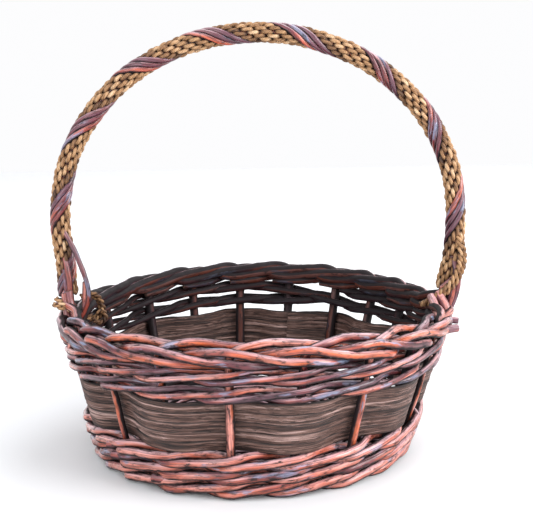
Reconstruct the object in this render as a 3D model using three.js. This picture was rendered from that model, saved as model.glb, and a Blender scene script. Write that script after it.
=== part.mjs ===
// Round willow market basket with a wrapped hoop handle. Millimetres, +Z up, front towards -Y.
// The origin is on the ground under the middle of the whole basket, the handle included.
import * as THREE from 'three';

// ---- Driving dimensions ----------------------------------------------------------------------------
const RIM_MIDDLE = new THREE.Vector3(-4, 0, 0); // the ground point under the middle of the rim
const RIM_RADIUS = 150; // wall line at the top of the border
const FOOT_RADIUS = 118; // wall line at the ground
const BOWL_HEIGHT = 122;
const WALL_BULGE = 0.4; // how much the wall bows outwards between foot and rim
const RIM_DIP = 6.4; // how much lower the rim is at the handle than at front and back
const DIP_START = 36; // the dip fades out at this height, the top of the lower wale
const FOOT_SHIFT = new THREE.Vector2(-4, -4); // the foot sits a little to the left and front of the rim

// Angles of the stakes in degrees from the front, counted towards +X. They aren't quite even.
const STAKE_ANGLES = [
  -7, 13, 33, 51, 68.5, 86.5, 103, 118.5, 133.5, 149,
  167, 185.4, 203.3, 221.5, 242.5, 266, 284, 299, 313.5, 333,
];
const STAKES = STAKE_ANGLES.length;
const STAKE_THICKNESS = 5.2;

const WALE_STRANDS = 3; // rods woven together; each passes in front of all but one of that many stakes
const WALE_CROSSING = 0.25; // a rod crosses the wall within this much of the middle between two stakes
const WALE_CLEARANCE = 0.8;
const WALE_TURN = 19; // stakes that one wale rod passes
const STEP_UP = 2; // stakes over which a wale climbs to its next course
const WALE_SEAM = 10.5; // the courses start behind the basket, half way between two stakes

const LOWER = { name: 'lower_wale_rod', first: 4.95, spacing: 6, thickness: 4.5, course: 12, courses: 3 };
const UPPER = { name: 'upper_wale_rod', first: 81, spacing: 4.3, thickness: 3.6, course: 10.8, courses: 2 };

const STRIPS = 5;
const STRIP_HEIGHT = 7.2;
const STRIP_THICKNESS = 1.8;
const STRIP_PITCH = 7.7;
const STRIP_FIRST = 41; // middle height of the lowest strip
const STRIP_OFFSET = 4.5; // from the wall line, alternately outwards and inwards
const STRIP_SEAM = 10; // the stake behind the basket at which the strips start and end
const STRIP_END = -0.29; // the end stops just short of the start

const BOW_HALF_WIDTH = 157.5;
const BOW_SHIFT = 3.5; // the hoop stands a little to the right of the rim's middle
const BOW_FLANK = 155.3; // half width lower down, where the hoop turns in to its feet
const BOW_FLANK_HEIGHT = 150;
const BOW_SPRING = 185; // height at which the handle is widest
const BOW_RISE = 143.5; // from there to the middle of the rod at the top
const BOW_THICKNESS = 6;
const BOW_FOOT = [79, 100, 118]; // the bow's ends follow the wall through these heights, beside a stake
const BOW_STATIONS = 35;
const BOW_STEP = 15; // degrees between the points that give the hoop its shape
const RIGHT_FOOT = 5.2; // places of the two ends, counted in stakes
const LEFT_FOOT = 15.2;

const WRAP_PITCH = 65;
const WRAP_PHASE = 65; // degrees: where the seagrass faces at the top of the handle, 90 is the front
const WRAP_START = 124; // height of the wrapping's lower ends
const WRAP_STATIONS_PER_TURN = 7;
// Each band's middle and the step between its strands are degrees round the bow.
const SEAGRASS_WRAP = { name: 'seagrass_cord', strands: 4, middle: 0, step: 60, radius: 6.2, thickness: 4.6 };
const WILLOW_WRAP = { name: 'willow_wrap', strands: 3, middle: 180, step: 40, radius: 6.1, thickness: 3.4 };

const BASE_RADIUS = 108.5;
const BASE_MIDDLE = 8.5;
const BASE_STICK_THICKNESS = 4.4;
const BASE_SPOKES = 10;
const BASE_SPREAD = 360 / BASE_SPOKES; // degrees from one spoke to the next
const BASE_KNEE = 27; // radius at which a stick bends towards its spoke
const BASE_STRAIGHT = 13; // half the length that a stick runs straight through the middle
// Two sticks run left to right under three that run front to back. Angles in degrees.
const BASE_STICKS = [
  { axis: 0, fan: BASE_SPREAD / 2, across: 3.4, middle: 6 },
  { axis: 0, fan: -BASE_SPREAD / 2, across: -3.4, middle: 6 },
  { axis: 90, fan: -BASE_SPREAD, across: -6.5, middle: 11 },
  { axis: 90, fan: 0, across: 0, middle: 11 },
  { axis: 90, fan: BASE_SPREAD, across: 6.5, middle: 11 },
];
const BASE_BANDS = [42, 67, 92]; // mean radius of each woven band
const BASE_BAND_WIDTH = 22;
const BASE_BAND_THICKNESS = 2.4;
const BASE_BAND_OFFSET = 3.9;
const BASE_BAND_FLAT = 0.22; // share of a spoke's spacing that the band runs level on each side of it
const BASE_BAND_END = -0.25;

// ---- Materials -------------------------------------------------------------------------------------
const FINISH = {
  willow: { color: 0xb4604c, roughness: 0.35, metalness: 0 },
  wale: { color: 0xa8584a, roughness: 0.35, metalness: 0 },
  fineWale: { color: 0x8c5450, roughness: 0.4, metalness: 0 },
  bark: { color: 0x4a3a32, roughness: 0.75, metalness: 0 },
  burgundy: { color: 0x7a4048, roughness: 0.35, metalness: 0 },
  seagrass: { color: 0xa68550, roughness: 0.85, metalness: 0 },
  base: { color: 0x7c4a3c, roughness: 0.5, metalness: 0 },
};

// ---- Bindings over the border beside the handle's feet ---------------------------------------------
const LOOP_REACH = 12.5; // how far a loop's sides hang outside and inside the wall line
const LOOP_END = 103; // height of its two ends
const LOOP_SIDE = 112; // its sides are straight up to here
const LOOP_SHOULDER = 3; // drop from its top to its shoulders
const LOOP_INSET = 1.5; // how far the shoulders stand in from the sides
const LOOP_CROWN = 6; // half width of its level top
const LOOPS = [
  { name: 'left_foot_loop', place: 15.75, top: 127, width: 7, thickness: 2.4, finish: FINISH.willow },
  { name: 'right_foot_loop', place: 4.75, top: 127, width: 7, thickness: 2.4, finish: FINISH.willow },
  { name: 'left_foot_tie', place: 14.7, top: 124.5, width: 5, thickness: 3, finish: FINISH.seagrass },
];

// ---- The wall of the bowl --------------------------------------------------------------------------
const UP = new THREE.Vector3(0, 0, 1);
const radians = THREE.MathUtils.degToRad;
const clamp = THREE.MathUtils.clamp;

function wallRadius(height) {
  const t = height / BOWL_HEIGHT;
  return FOOT_RADIUS + (RIM_RADIUS - FOOT_RADIUS) * (t + WALL_BULGE * t * (1 - t));
}

/** Angle of the stake with a number, which goes on past a whole turn in both directions. */
function stakeAngle(number) {
  const turns = Math.floor(number / STAKES);
  return STAKE_ANGLES[number - turns * STAKES] + 360 * turns;
}

/** Angle from the front, in radians, of a place counted in stakes: a smooth line through the stakes' angles. */
function wallAngle(place) {
  const number = Math.floor(place);
  const [before, from, to, after] = [-1, 0, 1, 2].map((step) => stakeAngle(number + step));
  const rateFrom = (to - before) / 2;
  const rateTo = (after - from) / 2;
  const t = place - number;
  const cubic = (2 * (from - to) + rateFrom + rateTo) * t ** 3;
  const square = (3 * (to - from) - 2 * rateFrom - rateTo) * t ** 2;
  return radians(cubic + square + rateFrom * t + from);
}

/** The point at a place along the wall, a distance outwards from the wall line, and a height. */
function onWall(place, outwards, height) {
  const angle = wallAngle(place);
  const radius = wallRadius(height) + outwards;
  const shift = FOOT_SHIFT.clone().multiplyScalar(1 - height / BOWL_HEIGHT);
  const dipShare = clamp((height - DIP_START) / (BOWL_HEIGHT - DIP_START), 0, 1);
  const dip = RIM_DIP * Math.sin(angle) ** 2 * dipShare;
  const x = radius * Math.sin(angle) + shift.x;
  const y = shift.y - radius * Math.cos(angle);
  return new THREE.Vector3(x, y, height - dip);
}

function outwardsAt(place) {
  const angle = wallAngle(place);
  return new THREE.Vector3(Math.sin(angle), -Math.cos(angle), 0);
}

// ---- Rods: a section carried along stations --------------------------------------------------------
/** A path through given stations. Each station has a point and a side, the direction of its section's x. */
class StationPath extends THREE.Curve {
  constructor(stations) {
    super();
    this.stations = stations;
  }

  getSpacedPoints() {
    return this.stations.map((station) => station.point);
  }

  computeFrenetFrames() {
    const tangents = [];
    const normals = [];
    const binormals = [];
    const last = this.stations.length - 1;
    this.stations.forEach((station, i) => {
      const before = this.stations[Math.max(i - 1, 0)].point;
      const after = this.stations[Math.min(i + 1, last)].point;
      const incoming = station.point.clone().sub(before).normalize();
      const outgoing = after.clone().sub(station.point).normalize();
      const tangent = incoming.add(outgoing).normalize();
      const normal = station.side.clone().addScaledVector(tangent, -station.side.dot(tangent)).normalize();
      tangents.push(tangent);
      normals.push(normal);
      binormals.push(new THREE.Vector3().crossVectors(tangent, normal));
    });
    return { tangents, normals, binormals };
  }
}

function polygon(sides, thickness) {
  const corners = [];
  for (let i = 0; i < sides; i++) {
    const angle = (2 * Math.PI * i) / sides;
    corners.push(new THREE.Vector2(Math.cos(angle), Math.sin(angle)).multiplyScalar(thickness / 2));
  }
  return new THREE.Shape(corners);
}

function rectangle(width, height) {
  const corners = [[-1, -1], [1, -1], [1, 1], [-1, 1]];
  return new THREE.Shape(corners.map(([x, y]) => new THREE.Vector2((x * width) / 2, (y * height) / 2)));
}

function rod(name, stations, section, finish) {
  const options = { steps: stations.length - 1, bevelEnabled: false, extrudePath: new StationPath(stations) };
  const geometry = new THREE.ExtrudeGeometry(section, options);
  const mesh = new THREE.Mesh(geometry, new THREE.MeshStandardMaterial(finish));
  mesh.name = name;
  return mesh;
}

function wallStation(place, outwards, height) {
  return { point: onWall(place, outwards, height), side: outwardsAt(place) };
}

const numbered = (name, i) => `${name}_${String(i + 1).padStart(2, '0')}`;

// ---- Stakes and the border made of their tops ------------------------------------------------------
// A stake stands in the wall, bends towards the next stake, goes behind two, in front of two and behind one.
const INNER = -6.5;
const OUTER = 6.5;
const UPRIGHT = [1.5, 30, 60, 90, 109];
const BEND = [[0.06, 0, 114], [0.2, 0, 117.5], [0.35, -1, 119.3], [0.5, -3.5, 120], [0.75, INNER, 119]];
// The two stakes beside the handle bend round the outside of the bow.
const BEND_ROUND_BOW = [
  [0, 0, 117], [0.04, 2.5, 121], [0.2, 7, 124.5], [0.35, 6, 125], [0.5, 0, 124], [0.75, INNER, 121.5],
];
const SWEEP = [
  [1, INNER, 117.5], [1.25, INNER, 115.8], [1.5, INNER, 113.8], [1.75, INNER, 110.5], [2, INNER, 107.8],
  [2.25, INNER, 106.6], [2.5, 0, 112.3], [2.75, OUTER, 117.5], [3, OUTER, 116.8], [3.25, OUTER, 113.6],
  [3.5, OUTER, 110.2], [3.75, OUTER, 108.4], [4, OUTER, 107.2], [4.25, OUTER, 106], [4.5, 0, 104],
  [4.75, INNER, 102], [5, INNER, 100.8], [5.35, INNER, 100.8],
];

function stake(index) {
  const besideBow = index === Math.floor(RIGHT_FOOT) || index === Math.floor(LEFT_FOOT);
  const knots = [
    ...UPRIGHT.map((height) => [0, 0, height]),
    ...(besideBow ? BEND_ROUND_BOW : BEND),
    ...SWEEP,
  ];
  const stations = knots.map(([u, outwards, height]) => wallStation(index + u, outwards, height));
  return rod(numbered('stake', index), stations, polygon(4, STAKE_THICKNESS), FINISH.willow);
}

// ---- Three-rod wale: in front of two stakes, behind one --------------------------------------------
/** Height of a wale rod within its course, from the number of stakes since it last came out of the wall. */
function strokeRise(u, spacing) {
  const half = spacing / 2;
  const turn = u < 2 ? u - 1 : 2.5 - u;
  return half * clamp(turn / WALE_CROSSING, -1, 1);
}

/** Distance outwards of a wale rod, from the number of stakes since it last came out of the wall. */
function strokeDepth(u, reach) {
  if (u < 1) return reach * clamp(u / WALE_CROSSING, -1, 1);
  if (u < 2.5) return reach * clamp((2 - u) / WALE_CROSSING, -1, 1);
  return reach * clamp((u - 3) / WALE_CROSSING, -1, 1);
}

/** Height gained by the courses below, which is level except for a short climb at the end of each turn. */
function courseRise(place, course) {
  const turn = Math.floor(place / STAKES);
  const left = STAKES - (place - turn * STAKES);
  return course * (turn + clamp(1 - left / STEP_UP, 0, 1));
}

const STROKE_STATIONS = [0.25, 0.75, 1.25, 1.75, 2.25, 2.75];

function waleRod(wale, strand, turn, sides) {
  const reach = (STAKE_THICKNESS + wale.thickness) / 2 + WALE_CLEARANCE;
  const begin = WALE_TURN * turn + strand + 0.25;
  const end = Math.min(begin + WALE_TURN - 0.5, STAKES * wale.courses - STEP_UP);
  const firstCycle = Math.floor((begin - strand) / WALE_STRANDS);
  const stations = [];
  for (let start = firstCycle * WALE_STRANDS + strand; start < end; start += WALE_STRANDS) {
    for (const u of STROKE_STATIONS) {
      const place = start + u;
      if (place < begin || place > end) continue;
      const height = wale.first + strokeRise(u, wale.spacing) + courseRise(place, wale.course);
      stations.push(wallStation(place + WALE_SEAM, strokeDepth(u, reach), height));
    }
  }
  const index = turn * WALE_STRANDS + strand;
  const finish = wale === LOWER ? FINISH.wale : FINISH.fineWale;
  return rod(numbered(wale.name, index), stations, polygon(sides, wale.thickness), finish);
}

// ---- Bark strips -----------------------------------------------------------------------------------
function barkStrip(index) {
  const middle = STRIP_FIRST + STRIP_PITCH * index;
  const stations = [];
  const slope = wallRadius(middle + 1) - wallRadius(middle);
  for (let k = 0; k <= STAKES; k++) {
    const side = k % 2 ? 1 : -1;
    for (const u of k < STAKES ? [-0.25, 0.25] : [STRIP_END]) {
      const station = wallStation(k + STRIP_SEAM + u, side * STRIP_OFFSET, middle);
      station.side.z = -slope;
      stations.push(station);
    }
  }
  return rod(numbered('bark_strip', index), stations, rectangle(STRIP_THICKNESS, STRIP_HEIGHT), FINISH.bark);
}

// ---- Handle ----------------------------------------------------------------------------------------
/** The handle's middle line, from its left foot over the top to its right foot. */
function bowPoints() {
  const points = BOW_FOOT.map((height) => onWall(LEFT_FOOT, 0, height));
  points.push(new THREE.Vector3(BOW_SHIFT - BOW_FLANK, 0, BOW_FLANK_HEIGHT));
  for (let angle = 180; angle >= 0; angle -= BOW_STEP) {
    const x = BOW_SHIFT + BOW_HALF_WIDTH * Math.cos(radians(angle));
    points.push(new THREE.Vector3(x, 0, BOW_SPRING + BOW_RISE * Math.sin(radians(angle))));
  }
  points.push(new THREE.Vector3(BOW_SHIFT + BOW_FLANK, 0, BOW_FLANK_HEIGHT));
  points.push(...BOW_FOOT.toReversed().map((height) => onWall(RIGHT_FOOT, 0, height)));
  return points;
}

const bow = new THREE.CatmullRomCurve3(bowPoints(), false, 'centripetal');
bow.arcLengthDivisions = 2000;
const BOW_LENGTH = bow.getLength();
const FRONT = new THREE.Vector3(0, -1, 0);

function handleBow() {
  const stations = [];
  for (let i = 0; i < BOW_STATIONS; i++) {
    stations.push({ point: bow.getPointAt(i / (BOW_STATIONS - 1)), side: FRONT });
  }
  return rod('handle_bow', stations, polygon(6, BOW_THICKNESS), FINISH.burgundy);
}

/** Where along the bow, from 0 to 1, it rises past a height on the left side. */
function bowPlaceAtHeight(height) {
  let place = 0;
  while (bow.getPointAt(place).z < height) place += 0.001;
  return place;
}

/** One strand of a band of strands that runs round and round the bow. */
function wrapStrand(wrap, strand, finish) {
  const from = bowPlaceAtHeight(WRAP_START) * BOW_LENGTH;
  const wrapped = BOW_LENGTH - 2 * from;
  const steps = Math.round((wrapped / WRAP_PITCH) * WRAP_STATIONS_PER_TURN);
  const stations = [];
  for (let i = 0; i <= steps; i++) {
    const along = from + (wrapped * i) / steps;
    const centre = bow.getPointAt(along / BOW_LENGTH);
    const tangent = bow.getTangentAt(along / BOW_LENGTH);
    const away = new THREE.Vector3().crossVectors(FRONT, tangent).normalize();
    const share = wrap.middle + wrap.step * (strand - (wrap.strands - 1) / 2);
    const angle = radians(WRAP_PHASE + share + (360 * (along - BOW_LENGTH / 2)) / WRAP_PITCH);
    const side = away.multiplyScalar(Math.cos(angle)).addScaledVector(FRONT, Math.sin(angle));
    stations.push({ point: centre.addScaledVector(side, wrap.radius), side });
  }
  return rod(`${wrap.name}_${strand + 1}`, stations, polygon(4, wrap.thickness), finish);
}

// ---- Bindings at the feet of the handle ------------------------------------------------------------
/** A loop laid over the border from outside to inside. */
function borderLoop({ name, place, top, width, thickness, finish }) {
  const outside = [
    [LOOP_REACH, LOOP_END],
    [LOOP_REACH, LOOP_SIDE],
    [LOOP_REACH - LOOP_INSET, top - LOOP_SHOULDER],
    [LOOP_CROWN, top],
  ];
  const inside = outside.toReversed().map(([outwards, height]) => [-outwards, height]);
  const along = new THREE.Vector3().crossVectors(UP, outwardsAt(place));
  const stations = [];
  for (const [outwards, height] of [...outside, ...inside]) {
    stations.push({ point: onWall(place, outwards, height), side: along });
  }
  return rod(name, stations, rectangle(width, thickness), finish);
}

// ---- Base ------------------------------------------------------------------------------------------
function basePoint(radius, angle, height) {
  const x = radius * Math.cos(angle) + FOOT_SHIFT.x;
  const y = radius * Math.sin(angle) + FOOT_SHIFT.y;
  return new THREE.Vector3(x, y, height);
}

/** A stick that runs straight through the middle and fans out on both sides to its own spokes. */
function baseStick(index, { axis, fan, across, middle }) {
  const near = Math.atan2(across, BASE_STRAIGHT);
  const nearRadius = Math.hypot(BASE_STRAIGHT, across);
  const bend = radians(fan);
  const stations = [
    [BASE_RADIUS, Math.PI - bend, BASE_MIDDLE], [BASE_KNEE, Math.PI - bend, BASE_MIDDLE],
    [nearRadius, Math.PI - near, middle], [nearRadius, near, middle],
    [BASE_KNEE, bend, BASE_MIDDLE], [BASE_RADIUS, bend, BASE_MIDDLE],
  ].map(([radius, angle, height]) => ({ point: basePoint(radius, angle + radians(axis), height), side: UP }));
  return rod(numbered('base_stick', index), stations, polygon(6, BASE_STICK_THICKNESS), FINISH.base);
}

/** A flat band woven over and under the sticks, in a ring that ends just short of its start. */
function baseBand(index) {
  const stations = [];
  for (let k = 0; k <= BASE_SPOKES; k++) {
    const side = (k + index) % 2 ? 1 : -1;
    for (const u of k < BASE_SPOKES ? [-BASE_BAND_FLAT, BASE_BAND_FLAT] : [BASE_BAND_END]) {
      const angle = radians(BASE_SPREAD * (k + u + 0.5));
      const point = basePoint(BASE_BANDS[index], angle, BASE_MIDDLE + side * BASE_BAND_OFFSET);
      stations.push({ point, side: UP });
    }
  }
  const section = rectangle(BASE_BAND_THICKNESS, BASE_BAND_WIDTH);
  return rod(numbered('base_weave', index), stations, section, FINISH.base);
}

// ---- Assembly --------------------------------------------------------------------------------------
const basket = new THREE.Group();
basket.name = 'woven_market_basket';
basket.position.copy(RIM_MIDDLE);

for (let i = 0; i < STAKES; i++) basket.add(stake(i));
for (const wale of [LOWER, UPPER]) {
  for (let turn = 0; turn < wale.courses; turn++) {
    for (let strand = 0; strand < WALE_STRANDS; strand++) {
      basket.add(waleRod(wale, strand, turn, wale === LOWER && turn === 0 ? 6 : 4));
    }
  }
}
for (let i = 0; i < STRIPS; i++) basket.add(barkStrip(i));

basket.add(handleBow());
for (let i = 0; i < SEAGRASS_WRAP.strands; i++) basket.add(wrapStrand(SEAGRASS_WRAP, i, FINISH.seagrass));
for (let i = 0; i < WILLOW_WRAP.strands; i++) basket.add(wrapStrand(WILLOW_WRAP, i, FINISH.burgundy));
for (const loop of LOOPS) basket.add(borderLoop(loop));

for (let i = 0; i < BASE_STICKS.length; i++) basket.add(baseStick(i, BASE_STICKS[i]));
for (let i = 0; i < BASE_BANDS.length; i++) basket.add(baseBand(i));

export default basket;
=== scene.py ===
"""Looks for the round willow market basket: every rod, strip and cord is rebuilt finely around the
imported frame.

Metres, +Z up, front towards -Y, as in the frame. Places along the wall are counted in stakes, from the one
left of the middle of the front towards +X.
"""
import math

import bpy
import numpy as np
from mathutils import Matrix, Vector


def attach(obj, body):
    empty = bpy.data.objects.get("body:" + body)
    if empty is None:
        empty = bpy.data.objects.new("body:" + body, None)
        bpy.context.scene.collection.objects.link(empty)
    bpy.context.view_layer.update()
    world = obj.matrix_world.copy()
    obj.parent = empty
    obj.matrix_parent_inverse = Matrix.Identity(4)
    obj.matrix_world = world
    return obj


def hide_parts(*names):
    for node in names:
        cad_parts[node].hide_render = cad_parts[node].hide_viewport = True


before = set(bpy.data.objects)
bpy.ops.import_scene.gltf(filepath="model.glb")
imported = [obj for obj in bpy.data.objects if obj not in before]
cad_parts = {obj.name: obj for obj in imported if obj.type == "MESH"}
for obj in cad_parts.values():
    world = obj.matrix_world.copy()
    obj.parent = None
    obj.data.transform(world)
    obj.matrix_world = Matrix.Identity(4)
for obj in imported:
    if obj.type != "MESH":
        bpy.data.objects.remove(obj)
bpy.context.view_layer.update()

# ---- Driving dimensions ----------------------------------------------------------------------------
# The wall and the stakes' places are the CAD model's. Rods and strips are a little thicker than there, and
# the wales lie a few millimetres higher.
RIM_MIDDLE = np.array([-0.004, 0, 0])  # the frame's origin is under the middle of the whole basket
RIM_RADIUS = 0.150
FOOT_RADIUS = 0.118
BOWL_HEIGHT = 0.122
WALL_BULGE = 0.4
RIM_DIP = 0.0064
DIP_START = 0.036
FOOT_SHIFT = np.array([-0.004, -0.004])

STAKE_ANGLES = np.array([  # degrees from the front, counted towards +X
    -7, 13, 33, 51, 68.5, 86.5, 103, 118.5, 133.5, 149,
    167, 185.4, 203.3, 221.5, 242.5, 266, 284, 299, 313.5, 333,
])
STAKES = len(STAKE_ANGLES)
STAKE_GAP = 0.045  # distance between two stakes near the rim, which weights a place against a depth

WALE_TURN = 19
STEP_UP = 2
WALE_SEAM = 10.5
LOWER = dict(name="lower_wale_rod", first=0.0079, spacing=0.0062, thickness=0.0065, course=0.0107, courses=3,
             flat_behind=0, raised_behind=0, spread_behind=0)
UPPER = dict(name="upper_wale_rod", first=0.0824, spacing=0.0060, thickness=0.0047, course=0.0134, courses=2,
             flat_behind=0.60, raised_behind=0.0032, spread_behind=-0.10)

STRIPS = 5
STRIP_HEIGHT = 0.0092
STRIP_THICKNESS = 0.0022
STRIP_PITCH = 0.0077
STRIP_FIRST = 0.041
STRIP_OFFSET = 0.0050
STRIP_SEAM = 10

BOW_HALF_WIDTH = 0.1575
BOW_SPRING = 0.185
BOW_RISE = 0.1435
BOW_FOOT = 0.079
RIGHT_FOOT = 5.2
LEFT_FOOT = 15.2
BOW_SHIFT = 0.0035
BOW_FLANK = 0.1553
BOW_FLANK_HEIGHT = 0.150
WRAP_PITCH = 0.065
WRAP_PHASE = math.radians(65)
WRAP_START = 0.124
SEAGRASS_WRAP = dict(strands=4, centre=0, spread=60, radius=0.0056)
WILLOW_WRAP = dict(strands=3, centre=180, spread=41, radius=0.0060)

BASE_MIDDLE = 0.0085
BASE_SPOKES = 10
BASE_RADIUS = 0.1085


# ---- The wall of the bowl --------------------------------------------------------------------------
def wall_radius(height):
    t = height / BOWL_HEIGHT
    return FOOT_RADIUS + (RIM_RADIUS - FOOT_RADIUS) * (t + WALL_BULGE * t * (1 - t))


def wall_angle(place):
    """Angle from the front, in radians, on a smooth line through the stakes' angles."""
    number = np.floor(place).astype(int)
    near = number + [[-1], [0], [1], [2]]
    before, start, stop, after = STAKE_ANGLES[near % STAKES] + 360 * (near // STAKES)
    rate_start, rate_stop = (stop - before) / 2, (after - start) / 2
    t = place - number
    cubic = (2 * (start - stop) + rate_start + rate_stop) * t**3
    square = (3 * (stop - start) - 2 * rate_start - rate_stop) * t**2
    return np.radians(cubic + square + rate_start * t + start)


def on_wall(wall):
    """Points for rows of (place, outwards, height)."""
    place, outwards, height = np.asarray(wall, float).T
    angle = wall_angle(place)
    radius = wall_radius(height) + outwards
    up = 1 - height / BOWL_HEIGHT
    dip = RIM_DIP * np.sin(angle) ** 2 * np.clip((height - DIP_START) / (BOWL_HEIGHT - DIP_START), 0, 1)
    x = radius * np.sin(angle) + FOOT_SHIFT[0] * up
    y = -radius * np.cos(angle) + FOOT_SHIFT[1] * up
    return np.column_stack([x, y, height - dip])


def outwards_at(place):
    angle = wall_angle(np.asarray(place, float))
    return np.column_stack([np.sin(angle), -np.cos(angle), np.zeros_like(angle)])


# ---- Curves and irregularity -----------------------------------------------------------------------
def smooth_through(knots, step, weights=(1, 1, 1)):
    """Rows about `step` apart along a smooth curve through the knots. The weights turn a row into metres."""
    knots = np.asarray(knots, float)
    gaps = np.maximum(np.linalg.norm(np.diff(knots * weights, axis=0), axis=1), 1e-6)
    at = np.concatenate([[0], np.cumsum(gaps)])
    slopes = np.diff(knots, axis=0) / gaps[:, None]
    tangents = np.vstack([slopes[:1], np.zeros((len(knots) - 2, knots.shape[1])), slopes[-1:]])
    before, after = gaps[:-1, None], gaps[1:, None]
    tangents[1:-1] = (slopes[:-1] * after + slopes[1:] * before) / (before + after)
    t = np.linspace(0, at[-1], max(int(at[-1] / step) + 1, 2))
    i = np.clip(np.searchsorted(at, t, side="right") - 1, 0, len(gaps) - 1)
    h = gaps[i][:, None]
    s = ((t - at[i]) / gaps[i])[:, None]
    return (
        (1 + 2 * s) * (1 - s) ** 2 * knots[i]
        + s * (1 - s) ** 2 * h * tangents[i]
        + s * s * (3 - 2 * s) * knots[i + 1]
        - s * s * (1 - s) * h * tangents[i + 1]
    )


def wander(along, amount, wavelength, rng):
    """A smooth random wave along a length, about `amount` high."""
    total = np.zeros_like(along)
    for stretch in (1.0, 0.61, 0.37):
        phase = rng.uniform(0, 2 * math.pi)
        total += stretch * np.sin(2 * math.pi * along / (wavelength * stretch) + phase)
    return total * amount / 1.5


def lengths_along(points):
    return np.concatenate([[0], np.cumsum(np.linalg.norm(np.diff(points, axis=0), axis=1))])


def directions_along(line):
    tangent = np.gradient(line, axis=0)
    return tangent / np.linalg.norm(tangent, axis=1)[:, None]


def square_to(tangent, side):
    """The part of each side direction that is square to the tangent, one unit long."""
    side = np.broadcast_to(side, tangent.shape)
    side = side - (side * tangent).sum(1)[:, None] * tangent
    return side / np.linalg.norm(side, axis=1)[:, None]


# ---- Meshes ----------------------------------------------------------------------------------------
PAINTED_LIGHT_LIFT = 0.55  # painted shade: the dark colour is kept off the sides that face out and a little up, where the light falls, and fills the undersides and crevices
END_BEVEL = 0.82  # share of the radius inside a cut end's bevel
END_RISE = 0.0004


class Shape:
    """Vertices and faces of one piece, gathered from several tubes, with each vertex's place on its rod."""

    def __init__(self):
        self.points, self.rod, self.rub, self.tint, self.faces, self.face_material = [], [], [], [], [], []
        self.up = []
        self.count = 0

    def add(self, points, rod, rub, up, tint, faces, material=0):
        self.points.append(points)
        self.rod.append(rod)
        self.rub.append(rub)
        self.up.append(up)
        self.tint.append(np.full(len(points), tint))
        self.faces.extend((np.asarray(f) + self.count).tolist() for f in faces)
        self.face_material.extend([material] * len(faces))
        self.count += len(points)

    def tube(self, centres, side, radius, corners=12, tint=0.5, offset=0.0, outline=None):
        """A tube of varying radius, (n,) or (n, corners), with cut ends. An outline gives the section."""
        centres = np.asarray(centres, float)
        n = len(centres)
        tangent = directions_along(centres)
        normal = square_to(tangent, side)
        binormal = np.cross(tangent, normal)
        if outline is None:
            turn = np.arange(corners) * 2 * math.pi / corners
            outline = np.column_stack([np.cos(turn), np.sin(turn)])
        else:
            outline = np.asarray(outline, float)
        corners = outline.shape[-2]
        outline = np.broadcast_to(outline, (n, corners, 2))
        radius = np.asarray(radius, float)
        radius = np.broadcast_to(radius.reshape(n, -1) if radius.ndim else radius, (n, corners))
        spread = outline * radius[:, :, None]
        ring = centres[:, None] + spread[:, :, :1] * normal[:, None] + spread[:, :, 1:] * binormal[:, None]
        along = lengths_along(centres) + offset
        rod = np.concatenate([np.broadcast_to(along[:, None, None], (n, corners, 1)), spread], axis=2)
        way_out = outline[:, :, :1] * normal[:, None] + outline[:, :, 1:] * binormal[:, None]
        way_out /= np.linalg.norm(way_out, axis=2)[:, :, None]
        # how far each face turns out and a little up, towards the light; the materials paint shade on the
        # faces turned away
        rubbed = normal + np.array([0, 0, PAINTED_LIGHT_LIFT])
        rubbed /= np.linalg.norm(rubbed, axis=1)[:, None]
        rub = (way_out * rubbed[:, None]).sum(2)
        first = (np.arange(n - 1) * corners)[:, None] + np.arange(corners)
        right = (np.arange(n - 1) * corners)[:, None] + (np.arange(corners) + 1) % corners
        quads = np.stack([first, right, right + corners, first + corners], axis=2).reshape(-1, 4)
        self.add(ring.reshape(-1, 3), rod.reshape(-1, 3), rub.ravel(), way_out[:, :, 2].ravel(), tint, quads)
        for end, way in ((0, -1), (n - 1, 1)):
            lip = centres[end] + (ring[end] - centres[end]) * END_BEVEL + tangent[end] * way * END_RISE
            rim = np.vstack([ring[end], lip, lip.mean(0)])
            spot = np.vstack([rod[end], rod[end] * [1, END_BEVEL, END_BEVEL], rod[end].mean(0)])
            k = np.arange(corners)
            j = (k + 1) % corners
            bevel = np.column_stack([k, j, j + corners, k + corners])
            fan = np.column_stack([k + corners, j + corners, np.full(corners, 2 * corners)])
            if way < 0:
                bevel, fan = bevel[:, ::-1], fan[:, ::-1]
            self.add(rim, spot, np.zeros(len(rim)), np.zeros(len(rim)), tint, bevel, 1)
            self.faces.extend((fan + self.count - len(rim)).tolist())
            self.face_material.extend([1] * len(fan))

    def piece(self, name, node, materials):
        mesh = bpy.data.meshes.new(name)
        points = np.vstack(self.points) + RIM_MIDDLE
        mesh.from_pydata(points.tolist(), [], self.faces)
        mesh.polygons.foreach_set("use_smooth", [m == 0 for m in self.face_material])
        mesh.polygons.foreach_set("material_index", self.face_material)
        rod = mesh.attributes.new("rod", "FLOAT_VECTOR", "POINT")
        rod.data.foreach_set("vector", np.vstack(self.rod).astype(np.float32).ravel())
        for key, values in (("rub", self.rub), ("up", self.up), ("tint", self.tint)):
            attribute = mesh.attributes.new(key, "FLOAT", "POINT")
            attribute.data.foreach_set("value", np.concatenate(values).astype(np.float32))
        for material in materials:
            mesh.materials.append(material)
        mesh.validate()
        made = bpy.data.objects.new(name, mesh)
        bpy.context.scene.collection.objects.link(made)
        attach(made, "root")
        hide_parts(*([node] if isinstance(node, str) else node))


BUD_HEIGHT = 0.045  # share of the rod's thickness
BUD_LENGTH = 0.0022


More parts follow.
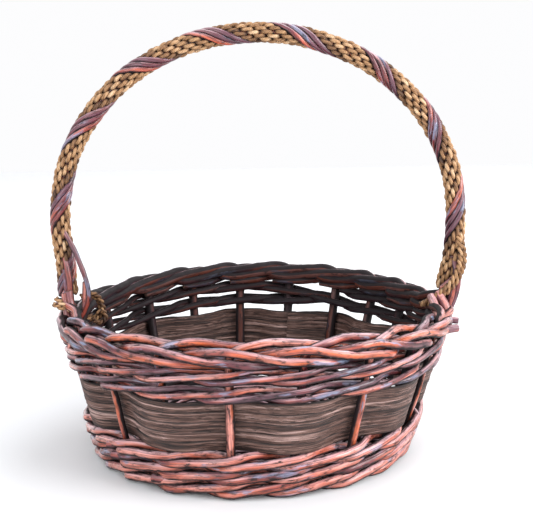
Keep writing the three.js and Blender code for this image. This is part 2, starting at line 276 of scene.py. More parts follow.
def willow_radius(along, thickness, rng, taper=0.12):
    """Radius of a willow rod: thicker at its butt, slightly uneven, with a low swelling at each bud."""
    length = along[-1]
    radius = thickness / 2 * (1 + taper / 2 - taper * along / length)
    radius = radius * (1 + wander(along, 0.03, 0.05, rng))
    bud = rng.uniform(0.01, 0.04)
    while bud < length:
        radius = radius + thickness * BUD_HEIGHT * np.exp(-(((along - bud) / BUD_LENGTH) ** 2))
        bud += rng.uniform(0.035, 0.075)
    return radius


# ---- Materials -------------------------------------------------------------------------------------
class Nodes:
    """Short calls for building one material's node tree."""

    def __init__(self, name):
        self.material = bpy.data.materials.new(name)
        self.material.use_nodes = True
        self.tree = self.material.node_tree
        self.shader = self.tree.nodes["Principled BSDF"]

    def put(self, kind, inputs=(), **settings):
        node = self.tree.nodes.new(kind)
        for key, value in settings.items():
            setattr(node, key, value)
        for key, value in dict(inputs).items():
            if isinstance(value, bpy.types.NodeSocket):
                self.tree.links.new(value, node.inputs[key])
            else:
                node.inputs[key].default_value = value
        return node

    def feed(self, socket, value):
        if isinstance(value, bpy.types.NodeSocket):
            self.tree.links.new(value, self.shader.inputs[socket])
        else:
            self.shader.inputs[socket].default_value = value

    def rod(self, stretch):
        where = self.put("ShaderNodeAttribute", attribute_name="rod").outputs["Vector"]
        return self.put("ShaderNodeMapping", {"Vector": where, "Scale": stretch}).outputs["Vector"]

    def value(self, name):
        return self.put("ShaderNodeAttribute", attribute_name=name).outputs["Fac"]

    def noise(self, vector, scale=1.0, detail=3.0, rough=0.55):
        return self.put(
            "ShaderNodeTexNoise", {"Vector": vector, "Scale": scale, "Detail": detail, "Roughness": rough}
        ).outputs["Fac"]

    def maths(self, operation, *values):
        node = self.put("ShaderNodeMath", operation=operation)
        for i, value in enumerate(values):
            if isinstance(value, bpy.types.NodeSocket):
                self.tree.links.new(value, node.inputs[i])
            else:
                node.inputs[i].default_value = value
        return node.outputs[0]

    def ramp(self, factor, stops):
        node = self.put("ShaderNodeValToRGB", {"Fac": factor})
        ramp = node.color_ramp
        while len(ramp.elements) < len(stops):
            ramp.elements.new(0.5)
        for element, (place, colour) in zip(ramp.elements, stops):
            element.position = place
            element.color = (*colour, 1)
        return node.outputs["Color"]

    def level(self, factor, low, high, out_low=0.0, out_high=1.0):
        return self.put(
            "ShaderNodeMapRange",
            {"Value": factor, "From Min": low, "From Max": high, "To Min": out_low, "To Max": out_high},
        ).outputs["Result"]

    def swing(self, value, amount):
        """How far the value is from a half, times an amount."""
        return self.maths("MULTIPLY", self.maths("SUBTRACT", value, 0.5), amount)

    def mix(self, factor, first, second):
        node = self.put("ShaderNodeMix", data_type="RGBA")
        for socket, value in ((0, factor), (6, first), (7, second)):
            if isinstance(value, bpy.types.NodeSocket):
                self.tree.links.new(value, node.inputs[socket])
            else:
                node.inputs[socket].default_value = value if socket == 0 else (*value, 1)
        return node.outputs[2]

    def bump(self, height, strength, distance):
        node = self.put("ShaderNodeBump", {"Height": height, "Strength": strength, "Distance": distance})
        self.feed("Normal", node.outputs["Normal"])


def srgb(red, green, blue):
    """A colour as a picture shows it, 0 to 255, in the renderer's linear values."""
    shares = (red / 255, green / 255, blue / 255)
    return tuple(((v + 0.055) / 1.055) ** 2.4 if v > 10 / 255 else v / 12.92 for v in shares)


def willow(name, tones, dark, rough=0.30, coat=0.7, haze_and_reflection=0.75, shade_and_stain=0.26):
    """Varnished willow: patches of the tones along each rod, painted shade in the crevices and on the
    undersides broken by a random stain mottle, a painted lilac highlight on upper faces, and bluish patches
    that are partly varnish haze and partly a painted cool reflection.
    """
    n = Nodes(name)
    patch = n.noise(n.rod((20, 110, 110)), detail=2.0)
    shifted = n.maths("ADD", patch, n.swing(n.value("tint"), 0.42))
    low, high = 0.28, 0.72
    stops = [(low + (high - low) * i / (len(tones) - 1), tone) for i, tone in enumerate(tones)]
    colour = n.ramp(shifted, stops)
    # painted highlight: a pale lilac sheen on the faces that turn up towards the light
    sheen = n.maths("ADD", n.value("up"), n.swing(patch, 1.6))
    colour = n.mix(n.level(sheen, 0.35, 0.95, 0.0, 0.72), colour, LILAC_HIGHLIGHT)
    # bluish patches at random along the rods, partly a varnish haze and partly a painted cool reflection
    haze_and_reflection_spots = n.noise(n.rod((42, 170, 170)), detail=3.0)
    colour = n.mix(n.level(haze_and_reflection_spots, 0.585, 0.65, 0.0, haze_and_reflection), colour, BLUE_HAZE_AND_REFLECTION)
    streak = n.noise(n.rod((30, 1300, 1300)), detail=4.0)
    colour = n.mix(n.level(streak, 0.42, 0.68, 0.0, 0.8), colour, dark)
    mottle = n.noise(n.rod((120, 400, 400)), detail=5.0, rough=0.65)
    colour = n.mix(n.level(mottle, 0.55, 0.66, 0.0, 0.9), colour, dark)
    # painted shade: the dark colour fills the faces turned down and into the crevices, broken by the random
    # mottle of the stain; faces turned inwards keep up to half of the tone
    wear_and_shade = n.maths("ADD", n.value("rub"), n.swing(mottle, -1.1))
    wear_and_shade = n.maths("MAXIMUM", wear_and_shade, n.level(n.value("rub"), -0.05, -0.8, 0.0, 0.50))
    clean_and_lit = n.level(wear_and_shade, shade_and_stain, shade_and_stain + 0.48)
    n.feed("Base Color", n.mix(clean_and_lit, dark, colour))
    worn_rough = n.level(mottle, 0.3, 0.7, rough - 0.08, rough + 0.16)
    n.feed("Roughness", n.maths("ADD", worn_rough, n.level(clean_and_lit, 0.0, 1.0, 0.35, 0.0)))
    n.feed("Specular IOR Level", 0.35)
    n.feed("Coat Weight", n.level(clean_and_lit, 0.1, 1.0, 0.0, coat))
    n.feed("Coat Roughness", 0.18)
    n.bump(n.maths("ADD", streak, n.maths("MULTIPLY", mottle, 0.8)), 0.45, 0.0007)
    return n.material


def cut_wood(name, tone, dark):
    n = Nodes(name)
    grain = n.noise(n.rod((900, 900, 900)), detail=3.0)
    n.feed("Base Color", n.ramp(grain, [(0.35, dark), (0.65, tone)]))
    n.feed("Roughness", 0.8)
    n.bump(grain, 0.4, 0.0005)
    return n.material


TERRACOTTA = srgb(200, 98, 72)
PINK = srgb(232, 148, 132)
ORANGE = srgb(214, 98, 44)
MAUVE = srgb(112, 66, 80)
# bluish colour for patches that are partly varnish haze and partly a painted cool reflection
BLUE_HAZE_AND_REFLECTION = srgb(146, 164, 196)
# colour of the painted highlight on the upward faces
LILAC_HIGHLIGHT = srgb(240, 200, 208)
UMBER = srgb(22, 11, 15)
BURGUNDY = srgb(124, 50, 54)
PLUM = srgb(84, 44, 56)

PALE_PINK = srgb(226, 184, 174)
BROWN = srgb(110, 62, 60)

MATERIALS = {
    "stake": willow("varnished_willow_border", [PLUM, BURGUNDY, TERRACOTTA, ORANGE, PINK], UMBER,
                    shade_and_stain=0.42),
    "lower": willow("varnished_willow_lower", [BURGUNDY, TERRACOTTA, PINK, TERRACOTTA, PINK], UMBER,
                    haze_and_reflection=0.6, shade_and_stain=0.46),
    "upper": willow("varnished_willow_upper", [PLUM, MAUVE, BURGUNDY, TERRACOTTA, PINK], UMBER,
                    haze_and_reflection=0.5, shade_and_stain=0.44),
    "handle": willow("varnished_willow_handle", [MAUVE, BURGUNDY, TERRACOTTA, ORANGE], UMBER,
                     haze_and_reflection=0.6, shade_and_stain=0.2),
    "pale": willow("varnished_willow_pale", [MAUVE, PINK, PALE_PINK, PINK], BROWN, haze_and_reflection=0.3),
    "base": willow("varnished_willow_base", [UMBER, MAUVE, TERRACOTTA], UMBER,
                   rough=0.5, coat=0.2, haze_and_reflection=0.2),
    "cut": cut_wood("cut_willow", srgb(120, 92, 78), srgb(40, 26, 24)),
}
BARK_DARK = srgb(20, 13, 12)
BARK_TONES = [
    (0.38, srgb(20, 11, 9)), (0.47, srgb(72, 47, 39)), (0.55, srgb(118, 88, 78)), (0.67, srgb(196, 164, 156)),
]
SEAGRASS_TONES = [
    (0.34, srgb(58, 36, 25)), (0.46, srgb(134, 95, 62)),
    (0.58, srgb(184, 141, 98)), (0.7, srgb(228, 196, 160)),
]


def bark_material():
    n = Nodes("dark_bark")
    fibre = n.noise(n.rod((38, 1900, 1900)), detail=6.0, rough=0.62)
    band = n.noise(n.rod((12, 420, 420)), detail=2.0)
    value = n.maths("ADD", n.maths("MULTIPLY", fibre, 0.5), n.maths("MULTIPLY", band, 0.5))
    colour = n.ramp(n.maths("ADD", value, n.swing(n.value("tint"), 0.07)), BARK_TONES)
    split = n.maths("ABSOLUTE", n.maths("SUBTRACT", n.noise(n.rod((9, 620, 620)), detail=3.0), 0.5))
    colour = n.mix(n.level(split, 0.006, 0.022, 0.9, 0.0), colour, BARK_DARK)
    # painted shade: dark lines along the top and bottom edges of each strip, where the strips meet
    across = n.put("ShaderNodeSeparateXYZ", {"Vector": n.rod((1, 1, 1))}).outputs["Z"]
    edge = n.maths("ADD", n.maths("ABSOLUTE", across), n.swing(band, 0.003))
    colour = n.mix(n.level(edge, 0.0032, 0.0043, 0.0, 0.9), colour, BARK_DARK)
    n.feed("Base Color", colour)
    n.feed("Roughness", n.level(fibre, 0.3, 0.7, 0.50, 0.75))
    n.bump(n.maths("ADD", value, n.level(split, 0.0, 0.02, 0.0, 0.4)), 0.9, 0.0013)
    return n.material


def seagrass_material():
    n = Nodes("seagrass")
    fibre = n.noise(n.rod((160, 3000, 3000)), detail=4.0)
    patch = n.noise(n.rod((60, 200, 200)), detail=2.0)
    value = n.maths("ADD", n.maths("MULTIPLY", fibre, 0.55), n.maths("MULTIPLY", patch, 0.45))
    shifted = n.maths("ADD", value, n.swing(n.value("tint"), 0.2))
    # painted shade: the grooves between the plies, where each ply turns into the cord, are darkened
    groove = n.level(n.value("rub"), -0.7, 0.5)
    n.feed("Base Color", n.mix(groove, srgb(46, 28, 19), n.ramp(shifted, SEAGRASS_TONES)))
    n.feed("Roughness", 0.62)
    n.bump(fibre, 0.6, 0.0006)
    return n.material


MATERIALS["bark"] = bark_material()
MATERIALS["seagrass"] = seagrass_material()


def random_for(*keys):
    return np.random.default_rng([11, *keys])


# ---- Stakes and the border -------------------------------------------------------------------------
MM = 0.001
UPRIGHT = [0.010, 0.020, 0.040, 0.060, 0.080, 0.100, 0.109]
# Rows of places past the stake's own, distances outwards and heights, the last two in millimetres.
BEND = [[0.06, 0, 114], [0.2, 0, 117.5], [0.35, -1, 119.3], [0.5, -3.5, 120], [0.75, -6.5, 119]]
BEND_ROUND_BOW = [
    [0, 0, 117], [0.04, 2.5, 121], [0.2, 7, 124.5], [0.35, 6, 125], [0.5, 0, 124], [0.75, -6.5, 121.5],
]
SWEEP = [
    [1, -6.5, 117.5], [1.25, -6.5, 115.8], [1.5, -6.5, 113.8], [1.75, -6.5, 110.5], [2, -6.5, 107.8],
    [2.25, -6.5, 106.6], [2.5, 0, 112.3], [2.75, 6.5, 117.5], [3, 6.5, 116.8], [3.25, 6.5, 113.6],
    [3.5, 6.5, 110.2], [3.75, 6.5, 108.4], [4, 6.5, 107.2], [4.25, 6.5, 106], [4.5, 0, 104],
    [4.75, -6.5, 102], [5, -6.5, 100.8],
]
SWEEP_END = 5.35
SWEEP_END_SPREAD = 0.28
STAKE_THICKNESS = 0.0063
STAKE_EXTRA_BEHIND = 0.0016
BORDER_LINE_BEHIND = 0.1085  # height that the border is drawn towards behind, where it lies flatter
BORDER_FLATTENED = 0.34
THIN_STAKES = {2: 0.95, 4: 0.68, 18: 0.74, 16: 0.8}
STAKE_TINTS = {0: 0.85, 2: 1.0, 4: 0.9, 18: 0.75}


def stake(index):
    rng = random_for(1, index)
    beside_bow = index in (int(RIGHT_FOOT), int(LEFT_FOOT))
    knots = [[index, -0.014, 0.0034], [index, -0.006, 0.0034]] + [[index, 0, height] for height in UPRIGHT]
    end = [[SWEEP_END - rng.uniform(0, SWEEP_END_SPREAD), -6.5, 100.8]]
    for u, outwards, height in (BEND_ROUND_BOW if beside_bow else BEND) + SWEEP + end:
        knots.append([index + u, outwards * MM, height * MM])
    wall = smooth_through(knots, 0.0022, (STAKE_GAP, 1, 1))
    calm = np.convolve(np.pad(wall[:, 2], 8, mode="edge"), np.full(17, 1 / 17), mode="valid")
    wall[:, 2] += (calm - wall[:, 2]) * np.clip((wall[:, 0] - index - 1) * 2, 0, 1)
    along = lengths_along(on_wall(wall))
    wall[:, 1] += wander(along, 0.0004, 0.07, rng)
    wall[:, 2] += wander(along, 0.0004, 0.08, rng) * (along > 0.12)
    behind = np.clip(-np.cos(wall_angle(wall[:, 0])) * 2, 0, 1)
    bent = np.clip((wall[:, 0] - index) * 2, 0, 1)
    wall[:, 2] += BORDER_FLATTENED * (BORDER_LINE_BEHIND - wall[:, 2]) * behind * bent
    radius = willow_radius(along, STAKE_THICKNESS + STAKE_EXTRA_BEHIND * behind, rng, taper=0.10)
    radius *= np.where(wall[:, 0] < index + 0.05, THIN_STAKES.get(index, 1.0), 1.0)
    radius *= 1 - 0.5 * np.clip((wall[:, 0] - index - 4.3) / 1.05, 0, 1) ** 1.5
    shape = Shape()
    tint = STAKE_TINTS.get(index, rng.uniform())
    shape.tube(on_wall(wall), outwards_at(wall[:, 0]), radius, 14, tint, rng.uniform(0, 50))
    shape.piece(f"willow_stake_{index + 1:02d}", f"stake_{index + 1:02d}",
                [MATERIALS["stake"], MATERIALS["cut"]])


# ---- Three-rod wale --------------------------------------------------------------------------------
WALE_BUTTS = {  # cut ends of rods that were joined in, as places, distances outwards and heights
    ("lower", 2): [[[19.1, 0, 0.010], [18.9, 0.006, 0.011], [18.66, 0.0085, 0.0115]]],
    ("lower", 5): [[[18.1, 0, 0.021], [17.95, 0.006, 0.021], [17.72, 0.0095, 0.0205]]],
    ("lower", 8): [[[18.0, 0, 0.031], [17.85, 0.006, 0.030], [17.66, 0.0095, 0.0285]]],
}


FRONT_FROM, FRONT_TO = 0.2, 1.8  # where in its cycle of three stakes a rod passes in front, rising
BEHIND_LENGTH = 1.4
HALF_RISE = 0.8


def wale_rod(wale, strand, turn):
    """One rod of a wale: in front of two stakes, rising by its own thickness at each, then behind one."""
    rng = random_for(2, strand, turn, int(wale["first"] * 1e4))
    reach = 0.0035 + wale["thickness"] / 2 - 0.0002
    begin = WALE_TURN * turn + strand + 0.1
    end = min(begin + WALE_TURN + 0.2, STAKES * wale["courses"] - STEP_UP + 0.4)
    if turn == 0:
        begin = 0.3 * strand - 1.3
    place = np.arange(begin, end, 0.04)
    u = (place - strand) % 3
    rising = np.where(u < FRONT_FROM, (FRONT_FROM - u) / BEHIND_LENGTH * 2 * HALF_RISE - HALF_RISE, u - 1)
    rise = np.where(u < FRONT_TO, rising, HALF_RISE - (u - FRONT_TO) / BEHIND_LENGTH * 2 * HALF_RISE)
    depth = np.clip(np.minimum((u - 0.15) / 0.3, (1.85 - u) / 0.3), -1, 1)
    depth = np.where(u > 2.5, np.clip((u - 3.15) / 0.3, -1, 1), depth)
    turns = np.floor(place / STAKES)
    left = STAKES * (turns + 1) - place
    climb = wale["course"] * np.where(place < 0, 0, turns + np.clip(1 - left / STEP_UP, 0, 1))
    behind = np.clip(-np.cos(wall_angle(place + WALE_SEAM) + math.radians(22)) * 1.8 - 0.55, 0, 1)
    height = wale["first"] + wale["spacing"] * rise * (1 - wale["flat_behind"] * behind) + climb
    height += behind * (wale["raised_behind"] + climb * wale["spread_behind"])
    knots = np.column_stack([place + WALE_SEAM, depth * reach, height])
    for _ in range(3):
        knots[1:-1, 1:] = (knots[:-2, 1:] + 2 * knots[1:-1, 1:] + knots[2:, 1:]) / 4
    along = lengths_along(on_wall(knots))
    knots[:, 1] += wander(along, wale["thickness"] * 0.05, 0.09, rng)
    knots[:, 2] += wander(along, wale["thickness"] * 0.08, 0.11, rng)
    radius = willow_radius(along, wale["thickness"], rng) * (1 + 0.3 * behind * (wale is UPPER))
    shape = Shape()
    shape.tube(on_wall(knots), outwards_at(knots[:, 0]), radius, 12, rng.uniform(), rng.uniform(0, 50))
    number = turn * 3 + strand + 1
    kind = "lower" if wale is LOWER else "upper"
    for butt in WALE_BUTTS.get((kind, number), ()):
        line = smooth_through(butt, 0.002, (STAKE_GAP, 1, 1))
        shape.tube(on_wall(line), outwards_at(line[:, 0]), wale["thickness"] * 0.48, 12, 0.2)
    shape.piece(f"willow_{kind}_wale_{number:02d}", f"{wale['name']}_{number:02d}",
                [MATERIALS[kind], MATERIALS["cut"]])


# ---- Bark strips -----------------------------------------------------------------------------------
def bark_outline(corners=30):
    """A flat section with rounded edges, one unit thick and as tall as the strip in those units."""
    tall = STRIP_HEIGHT / STRIP_THICKNESS
    turn = np.arange(corners) * 2 * math.pi / corners
    x = np.sign(np.cos(turn)) * np.abs(np.cos(turn)) ** 0.5
    y = np.sign(np.sin(turn)) * np.abs(np.sin(turn)) ** 0.8 * tall
    return np.column_stack([x, y]) / 2


def bark_strip(index):
    rng = random_for(3, index)
    middle = STRIP_FIRST + STRIP_PITCH * index
    knots = []
    for k in range(STAKES + 1):
        side = 1 if k % 2 else -1
        for u in (-0.2, 0.2) if k < STAKES else (-0.3,):
            knots.append([k + STRIP_SEAM + u, side * STRIP_OFFSET, middle])
    knots.append([STAKES + STRIP_SEAM - 0.05, -STRIP_OFFSET - 0.0026, middle])
    wall = smooth_through(knots, 0.0022, (STAKE_GAP, 1, 1))
    along = lengths_along(on_wall(wall))
    wall[:, 1] += wander(along, 0.0004, 0.06, rng)
    wall[:, 2] += wander(along, 0.0003, 0.12, rng)
    outline = bark_outline()
    corners = len(outline)
    ridges = np.zeros((len(wall), corners))
    height = outline[:, 1] * STRIP_THICKNESS
    for width, deep in ((0.0029, 0.16), (0.0014, 0.12), (0.0007, 0.07)):
        drift = wander(along, width * 0.9, 0.09, rng)
        ridges += deep * np.sin(2 * math.pi * (height[None] + drift[:, None]) / width + rng.uniform(0, 6))
    shaped = outline[None] * np.ones((len(wall), 1, 1))
    shaped[:, :, 0] *= 1 + ridges
    shaped[:, :, 1] *= 1 + wander(along, 0.05, 0.03, rng)[:, None]
    slope = (wall_radius(middle + MM) - wall_radius(middle)) / MM
    side = outwards_at(wall[:, 0]) - [0, 0, slope]
    shape = Shape()
    shape.tube(on_wall(wall), side, STRIP_THICKNESS, tint=rng.uniform(), offset=rng.uniform(0, 50),
               outline=shaped)
    shape.piece(f"bark_splint_{index + 1:02d}", f"bark_strip_{index + 1:02d}",
                [MATERIALS["bark"], MATERIALS["bark"]])


# ---- Handle ----------------------------------------------------------------------------------------
def bow_line():
    foot = [BOW_FOOT, 0.100, 0.118]
    points = [on_wall([[LEFT_FOOT, 0, height]])[0] for height in foot]
    points.append([BOW_SHIFT - BOW_FLANK, 0, BOW_FLANK_HEIGHT])
    for angle in np.radians(np.arange(180, -1, -15)):
        across = BOW_HALF_WIDTH * math.cos(angle)
        points.append([BOW_SHIFT + across, 0, BOW_SPRING + BOW_RISE * math.sin(angle)])
    points.append([BOW_SHIFT + BOW_FLANK, 0, BOW_FLANK_HEIGHT])
    points += [on_wall([[RIGHT_FOOT, 0, height]])[0] for height in reversed(foot)]
    return smooth_through(points, 0.0005)


BOW = bow_line()
BOW_ALONG = lengths_along(BOW)
FRONT = np.array([0.0, -1.0, 0.0])


def bow_at(along):
    """Points on the handle's middle line, and the directions away from the hoop's centre."""
    centre = np.column_stack([np.interp(along, BOW_ALONG, BOW[:, k]) for k in range(3)])
    tangents = np.gradient(BOW, axis=0)
    tangent = np.column_stack([np.interp(along, BOW_ALONG, tangents[:, k]) for k in range(3)])
    tangent /= np.linalg.norm(tangent, axis=1)[:, None]
    away = np.cross(FRONT, tangent)
    return centre, away / np.linalg.norm(away, axis=1)[:, None]


def wrap_line(wrap, strand, along, lift):
    """The helix of one wrapping strand, whose pitch isn't quite even: its points and outward directions."""
    centre, away = bow_at(along)
    share = wrap["centre"] + wrap["spread"] * (strand - (wrap["strands"] - 1) / 2)
    past_top = along - BOW_ALONG[-1] / 2
    drift = math.radians(14) * np.cos(2 * math.pi * (past_top - 0.080) / 0.200)
    angle = WRAP_PHASE + math.radians(share) + 2 * math.pi * past_top / WRAP_PITCH - drift
    side = away * np.cos(angle)[:, None] + FRONT * np.sin(angle)[:, None]
    return centre + side * (wrap["radius"] + lift)[:, None], side


def wrap_span():
    """Where along the bow the wrapping starts and ends."""
    high = BOW_ALONG[BOW[:, 2] > WRAP_START]
    return high[0], high[-1]


def handle_bow():
    along = np.arange(0, BOW_ALONG[-1], 0.004)
    centre, away = bow_at(along)
    shape = Shape()
    shape.tube(centre, FRONT, willow_radius(along, 0.0080, random_for(4, 0)), 12)
    shape.piece("willow_bow", "handle_bow", [MATERIALS["handle"], MATERIALS["cut"]])


def twist_cord(shape, line, side, radius, rng):
    """A two-ply cord along a line, laid so that its grains slope against the wrapping."""
    at = lengths_along(line)
    tangent = directions_along(line)
    side = square_to(tangent, side)
    across = np.cross(tangent, side)
    twist = -2 * math.pi * (at + wander(at, 0.0006, 0.04, rng)) / (radius * 4) + rng.uniform(0, 6)
    for ply in range(2):
        turn = twist + math.pi * ply
        out = side * np.cos(turn)[:, None] + across * np.sin(turn)[:, None]
        thick = 0.53 * radius * (1 + wander(at, 0.09, 0.009, rng))
        shape.tube(line + out * 0.47 * radius, out, thick, 9, rng.uniform(), rng.uniform(0, 50))
        shape.rub[-3] = np.repeat((out * side).sum(1), 9)  # the ply's own side, from which the seagrass paints shade in the grooves; its two ends come after it


def seagrass_cord(strand):
    rng = random_for(5, strand)
    begin, end = wrap_span()
    along = np.arange(begin, end, 0.0007)
    line, side = wrap_line(SEAGRASS_WRAP, strand, along, wander(along, 0.0002, 0.03, rng))
    shape = Shape()
    twist_cord(shape, line, side, 0.0027, rng)
    for tail, foot in enumerate(CORD_TAILS.get(strand, ())):
        tail_line = smooth_through(np.array(foot) * MM, 0.0007)
        twist_cord(shape, tail_line, FRONT, 0.0024, random_for(5, strand, tail))
    shape.piece(f"seagrass_{strand + 1}", f"seagrass_cord_{strand + 1}",
                [MATERIALS["seagrass"], MATERIALS["seagrass"]])


def willow_wrap(strand):
    rng = random_for(6, strand)
    begin, end = wrap_span()
    along = np.arange(begin, end, 0.0015)
    line, side = wrap_line(WILLOW_WRAP, strand, along, wander(along, 0.0003, 0.05, rng))
    radius = willow_radius(lengths_along(line), 0.0046, rng)
    shape = Shape()
    shape.tube(line, side, radius, 12, rng.uniform(), rng.uniform(0, 50))
    for tail, (thick, foot) in enumerate(WRAP_TAILS.get(strand, ())):
        loose_rod(shape, foot, thick, random_for(6, strand, tail), 0.25)
    shape.piece(f"willow_handle_wrap_{strand + 1}", f"willow_wrap_{strand + 1}",
                [MATERIALS["handle"], MATERIALS["cut"]])


def loose_rod(shape, knots, thickness, rng, tint=None):
    """A short rod through points given in millimetres from the middle of the rim."""
    line = smooth_through(np.array(knots, float) * MM, 0.0015)
    radius = willow_radius(lengths_along(line), thickness * MM, rng)
    shape.tube(line, FRONT, radius, 12, rng.uniform() if tint is None else tint, rng.uniform(0, 50))


# ---- What hangs at the feet of the handle, in millimetres from the middle of the rim ---------------
CORD_TAILS = {
    1: [[(163, -1, 172), (166, -4, 161), (167, -8, 148), (163, -11, 136), (155, -11, 125), (146, -9, 117),
         (137, -3, 111)]],
    2: [[(162, -4, 170), (163.5, -8, 158), (163, -10, 146), (158, -13, 135), (150, -12, 125), (141, -8, 117),
         (134, -1, 111)]],
}
WRAP_TAILS = {
    0: [
        (4.6, [(160, -1, 156), (163.5, -5, 146), (163, -7, 134), (161, -8, 121), (156, -9, 108),
               (153, -9, 98)]),
        (4.0, [(-152, -4, 177), (-147.5, -7, 170), (-142.6, -9, 161), (-138.5, -11, 151), (-134.5, -13, 140),
               (-132.5, -13, 130), (-132.5, -13, 122), (-136, -13, 113), (-141, -13, 104)]),
    ],
    1: [
        (4.8, [(158, -3, 150), (160.5, -8, 140), (159, -9, 130), (157, -10, 119), (153, -10, 106),
               (150, -10, 96)]),
        (5.0, [(-152, -2, 158), (-149.5, -7, 147), (-147.5, -9, 136), (-147.3, -10, 125), (-147, -11, 117)]),
    ],
    2: [(4.4, [(-154, -1, 156), (-152.5, -5, 146), (-151, -7, 135), (-150.5, -8, 125), (-150, -9, 117)])],
}
LEFT_LOOP_RODS = [
    (5.4, [(-148, -13, 129), (-147, -14, 122), (-145, -16, 114), (-142, -19, 106), (-139, -22, 98)]),
    (5.0, [(-152, -12, 127), (-151, -14, 119), (-150, -17, 112), (-148, -20, 104)]),
    (3.2, [(-137, -2, 134), (-138, -2, 121), (-139, -2, 108)]),
    (4.6, [(-139, -51, 105), (-140.5, -53, 99), (-142.5, -52, 93)]),
]
RIGHT_LOOP_RODS = [
    (6.6, [(141, -8, 119), (142.5, -17, 114), (144, -23, 106), (145, -27, 97), (145, -27, 89)]),
    (6.4, [(146, -8, 122), (150, -14, 116), (152.5, -20, 108), (152.5, -24, 99)]),
    (5.4, [(148, -26, 105), (153, -28, 104.5), (159, -29, 104)]),
    (6.6, [(132, -41, 99), (144.6, -38, 99), (158, -31, 98.5)]),
]
LEFT_TIE_CORDS = [
    [(-146, 12, 101), (-139, 16, 99), (-131, 19, 99), (-126.5, 20, 104), (-127.5, 20, 113), (-131.5, 19, 119),
     (-137, 17, 121), (-143, 14, 119)],
    [(-145, 15, 104), (-138, 19, 101), (-130, 22, 102), (-129, 22, 109), (-132, 21, 116), (-138, 19, 118)],
    [(-133, 14, 98), (-128, 16, 96), (-124, 17, 100), (-126, 18, 105), (-131, 18, 104)],
    [(-147, -17, 115), (-152, -17, 119), (-158, -15, 124)],
    [(-148, -16, 113), (-153, -17, 116), (-160, -16, 119.5)],
]


def foot_rods(name, node, rods, seed):
    shape = Shape()
    rng = random_for(7, seed)
    for thickness, knots in rods:
        loose_rod(shape, knots, thickness, rng)
    shape.piece(name, node, [MATERIALS["pale"], MATERIALS["cut"]])


def foot_tie():
    shape = Shape()
    rng = random_for(8)
    for knots in LEFT_TIE_CORDS:
        twist_cord(shape, smooth_through(np.array(knots, float) * MM, 0.0007), FRONT, 0.0022, rng)
    shape.piece("seagrass_tie", "left_foot_tie", [MATERIALS["seagrass"], MATERIALS["seagrass"]])


# ---- Base ------------------------------------------------------------------------------------------
BASE_BANDS = 3
BASE_RINGS = 17
BASE_RING_FIRST = 0.031
BASE_RING_PITCH = 0.0045
BASE_RINGS_PER_BAND = 6
STICK_BUNDLE = 13  # millimetres from the middle to where a stick leaves its bundle
STICK_HEIGHT = 8.5
# Direction of the stick, how far its ends fan out, its shift sideways in the bundle and its height there.
BASE_STICKS = [(0, 18, 3.4, 6), (0, -18, -3.4, 6), (90, -36, -6.5, 11), (90, 0, 0, 11), (90, 36, 6.5, 11)]


def base_point(radius, angle, height):
    return np.column_stack([
        radius * np.cos(angle) + FOOT_SHIFT[0],
        radius * np.sin(angle) + FOOT_SHIFT[1],
        height * np.ones_like(angle),
    ])


def base_stick(index):
    axis, fan, across, middle = BASE_STICKS[index]
    rng = random_for(9, index)
    near = math.degrees(math.atan2(across, STICK_BUNDLE))
    inner = math.hypot(across, STICK_BUNDLE)
    half = [(inner, near, middle)] + [(radius, fan, STICK_HEIGHT) for radius in (27, 60, BASE_RADIUS / MM)]
    knots = [(r, 180 - a, h) for r, a, h in reversed(half)] + half
    radius, angle, height = np.array(knots, float).T
    line = smooth_through(base_point(radius * MM, np.radians(angle + axis), height * MM), 0.003)
    shape = Shape()
    shape.tube(line, [0, 0, 1], willow_radius(lengths_along(line), 0.0050, rng), 10, rng.uniform())
    shape.piece(f"willow_base_stick_{index + 1}", f"base_stick_{index + 1:02d}",
                [MATERIALS["base"], MATERIALS["cut"]])


def base_weave(band):
    """Thin rods woven round the base, over and under the sticks by turns."""
    rng = random_for(10, band)
    shape = Shape()
    for ring in range(band * BASE_RINGS_PER_BAND, min((band + 1) * BASE_RINGS_PER_BAND, BASE_RINGS)):
        radius = BASE_RING_FIRST + BASE_RING_PITCH * ring
        start = rng.uniform(0, 2 * math.pi)
        angle = start + np.arange(0, 2 * math.pi + 0.02, 0.0025 / radius)
        side = -1 if ring % 2 else 1
        wave = side * np.sin((angle - math.radians(18)) * BASE_SPOKES / 2 + math.pi / 2)
        height = BASE_MIDDLE + 0.0036 * np.clip(wave * 1.4, -1, 1)
        points = base_point(radius + wander(angle * radius, 0.0003, 0.05, rng), angle, height)
        shape.tube(points, [0, 0, 1], willow_radius(lengths_along(points), 0.0041, rng), 8, rng.uniform())
    shape.piece(f"willow_base_weave_{band + 1}", f"base_weave_{band + 1:02d}",
                [MATERIALS["base"], MATERIALS["cut"]])


for i in range(STAKES):
    stake(i)
for wale in (LOWER, UPPER):
    for turn in range(wale["courses"]):
        for strand in range(3):
            wale_rod(wale, strand, turn)
for i in range(STRIPS):
    bark_strip(i)
handle_bow()
for i in range(SEAGRASS_WRAP["strands"]):
    seagrass_cord(i)
for i in range(WILLOW_WRAP["strands"]):
    willow_wrap(i)
foot_rods("left_foot_rods", "left_foot_loop", LEFT_LOOP_RODS, 1)
foot_rods("right_foot_rods", "right_foot_loop", RIGHT_LOOP_RODS, 2)
foot_tie()
for i in range(len(BASE_STICKS)):
    base_stick(i)
for i in range(BASE_BANDS):
    base_weave(i)


# ---- Stage: camera, floor and light ----------------------------------------------------------------
CAMERA_PLACE = Vector((-0.00304, -0.850, 0.30957))
PITCH, YAW, ROLL = 0.1895, 0.0099, 0.0139


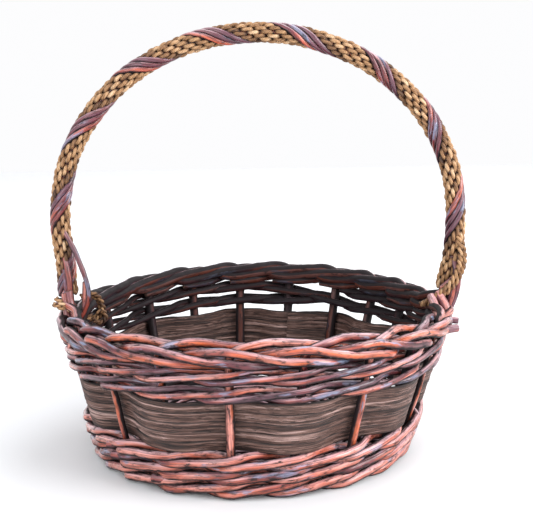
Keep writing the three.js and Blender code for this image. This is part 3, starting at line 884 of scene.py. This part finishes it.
def camera():
    data = bpy.data.cameras.new("camera")
    data.sensor_width = 36
    data.lens = 72.71
    made = bpy.data.objects.new("camera", data)
    bpy.context.scene.collection.objects.link(made)
    right = Vector((math.cos(YAW), -math.sin(YAW), 0))
    ahead = Vector((math.sin(YAW) * math.cos(PITCH), math.cos(YAW) * math.cos(PITCH), -math.sin(PITCH)))
    up = right.cross(ahead)
    rolled_right = right * math.cos(ROLL) - up * math.sin(ROLL)
    rolled_up = right * math.sin(ROLL) + up * math.cos(ROLL)
    made.matrix_world = Matrix.Translation(CAMERA_PLACE) @ Matrix(
        (rolled_right, rolled_up, -ahead)
    ).transposed().to_4x4()
    bpy.context.scene.camera = made


def plane(name, corners, colour, glow=0.0):
    mesh = bpy.data.meshes.new(name)
    mesh.from_pydata(corners, [], [(0, 1, 2, 3)])
    n = Nodes(name)
    n.feed("Base Color", (0, 0, 0, 1) if glow else (*colour, 1))
    n.feed("Roughness", 0.95)
    n.feed("Specular IOR Level", 0.0 if glow else 0.1)
    n.feed("Emission Color", (*colour, 1))
    n.feed("Emission Strength", glow)
    mesh.materials.append(n.material)
    made = bpy.data.objects.new(name, mesh)
    bpy.context.scene.collection.objects.link(made)


def softbox(name, place, target, size, power, colour):
    data = bpy.data.lights.new(name, "AREA")
    data.shape = "DISK"
    data.size = size
    data.energy = power
    data.color = colour
    made = bpy.data.objects.new(name, data)
    bpy.context.scene.collection.objects.link(made)
    made.location = place
    made.rotation_euler = (Vector(target) - Vector(place)).to_track_quat("-Z", "Y").to_euler()


def sky(colour, strength):
    world = bpy.data.worlds.new("studio")
    bpy.context.scene.world = world
    world.use_nodes = True
    background = world.node_tree.nodes["Background"]
    background.inputs["Color"].default_value = (*colour, 1)
    background.inputs["Strength"].default_value = strength


camera()
FAR = 5.0
BACK, BOTTOM, TOP = 2.2, -0.01, 3.5
plane("floor", [(-FAR, -FAR, 0), (FAR, -FAR, 0), (FAR, FAR, 0), (-FAR, FAR, 0)], (0.90, 0.90, 0.905))
plane("backdrop", [(-FAR, BACK, BOTTOM), (FAR, BACK, BOTTOM), (FAR, BACK, TOP), (-FAR, BACK, TOP)],
      (0.98, 0.98, 0.99), 1.0)
sky((0.94, 0.965, 1.0), 0.98)
softbox("key_right", (1.65, -0.9, 1.05), (0, 0, 0.08), 1.5, 40, (1.0, 0.98, 0.985))
softbox("fill_left", (-1.1, -1.5, 0.9), (0, 0, 0.06), 1.4, 13, (1.0, 0.99, 1.0))
softbox("top_back", (0.6, 0.9, 1.5), (0, 0, 0.1), 1.2, 10, (0.94, 0.96, 1.0))
bpy.context.scene.view_settings.view_transform = "Standard"
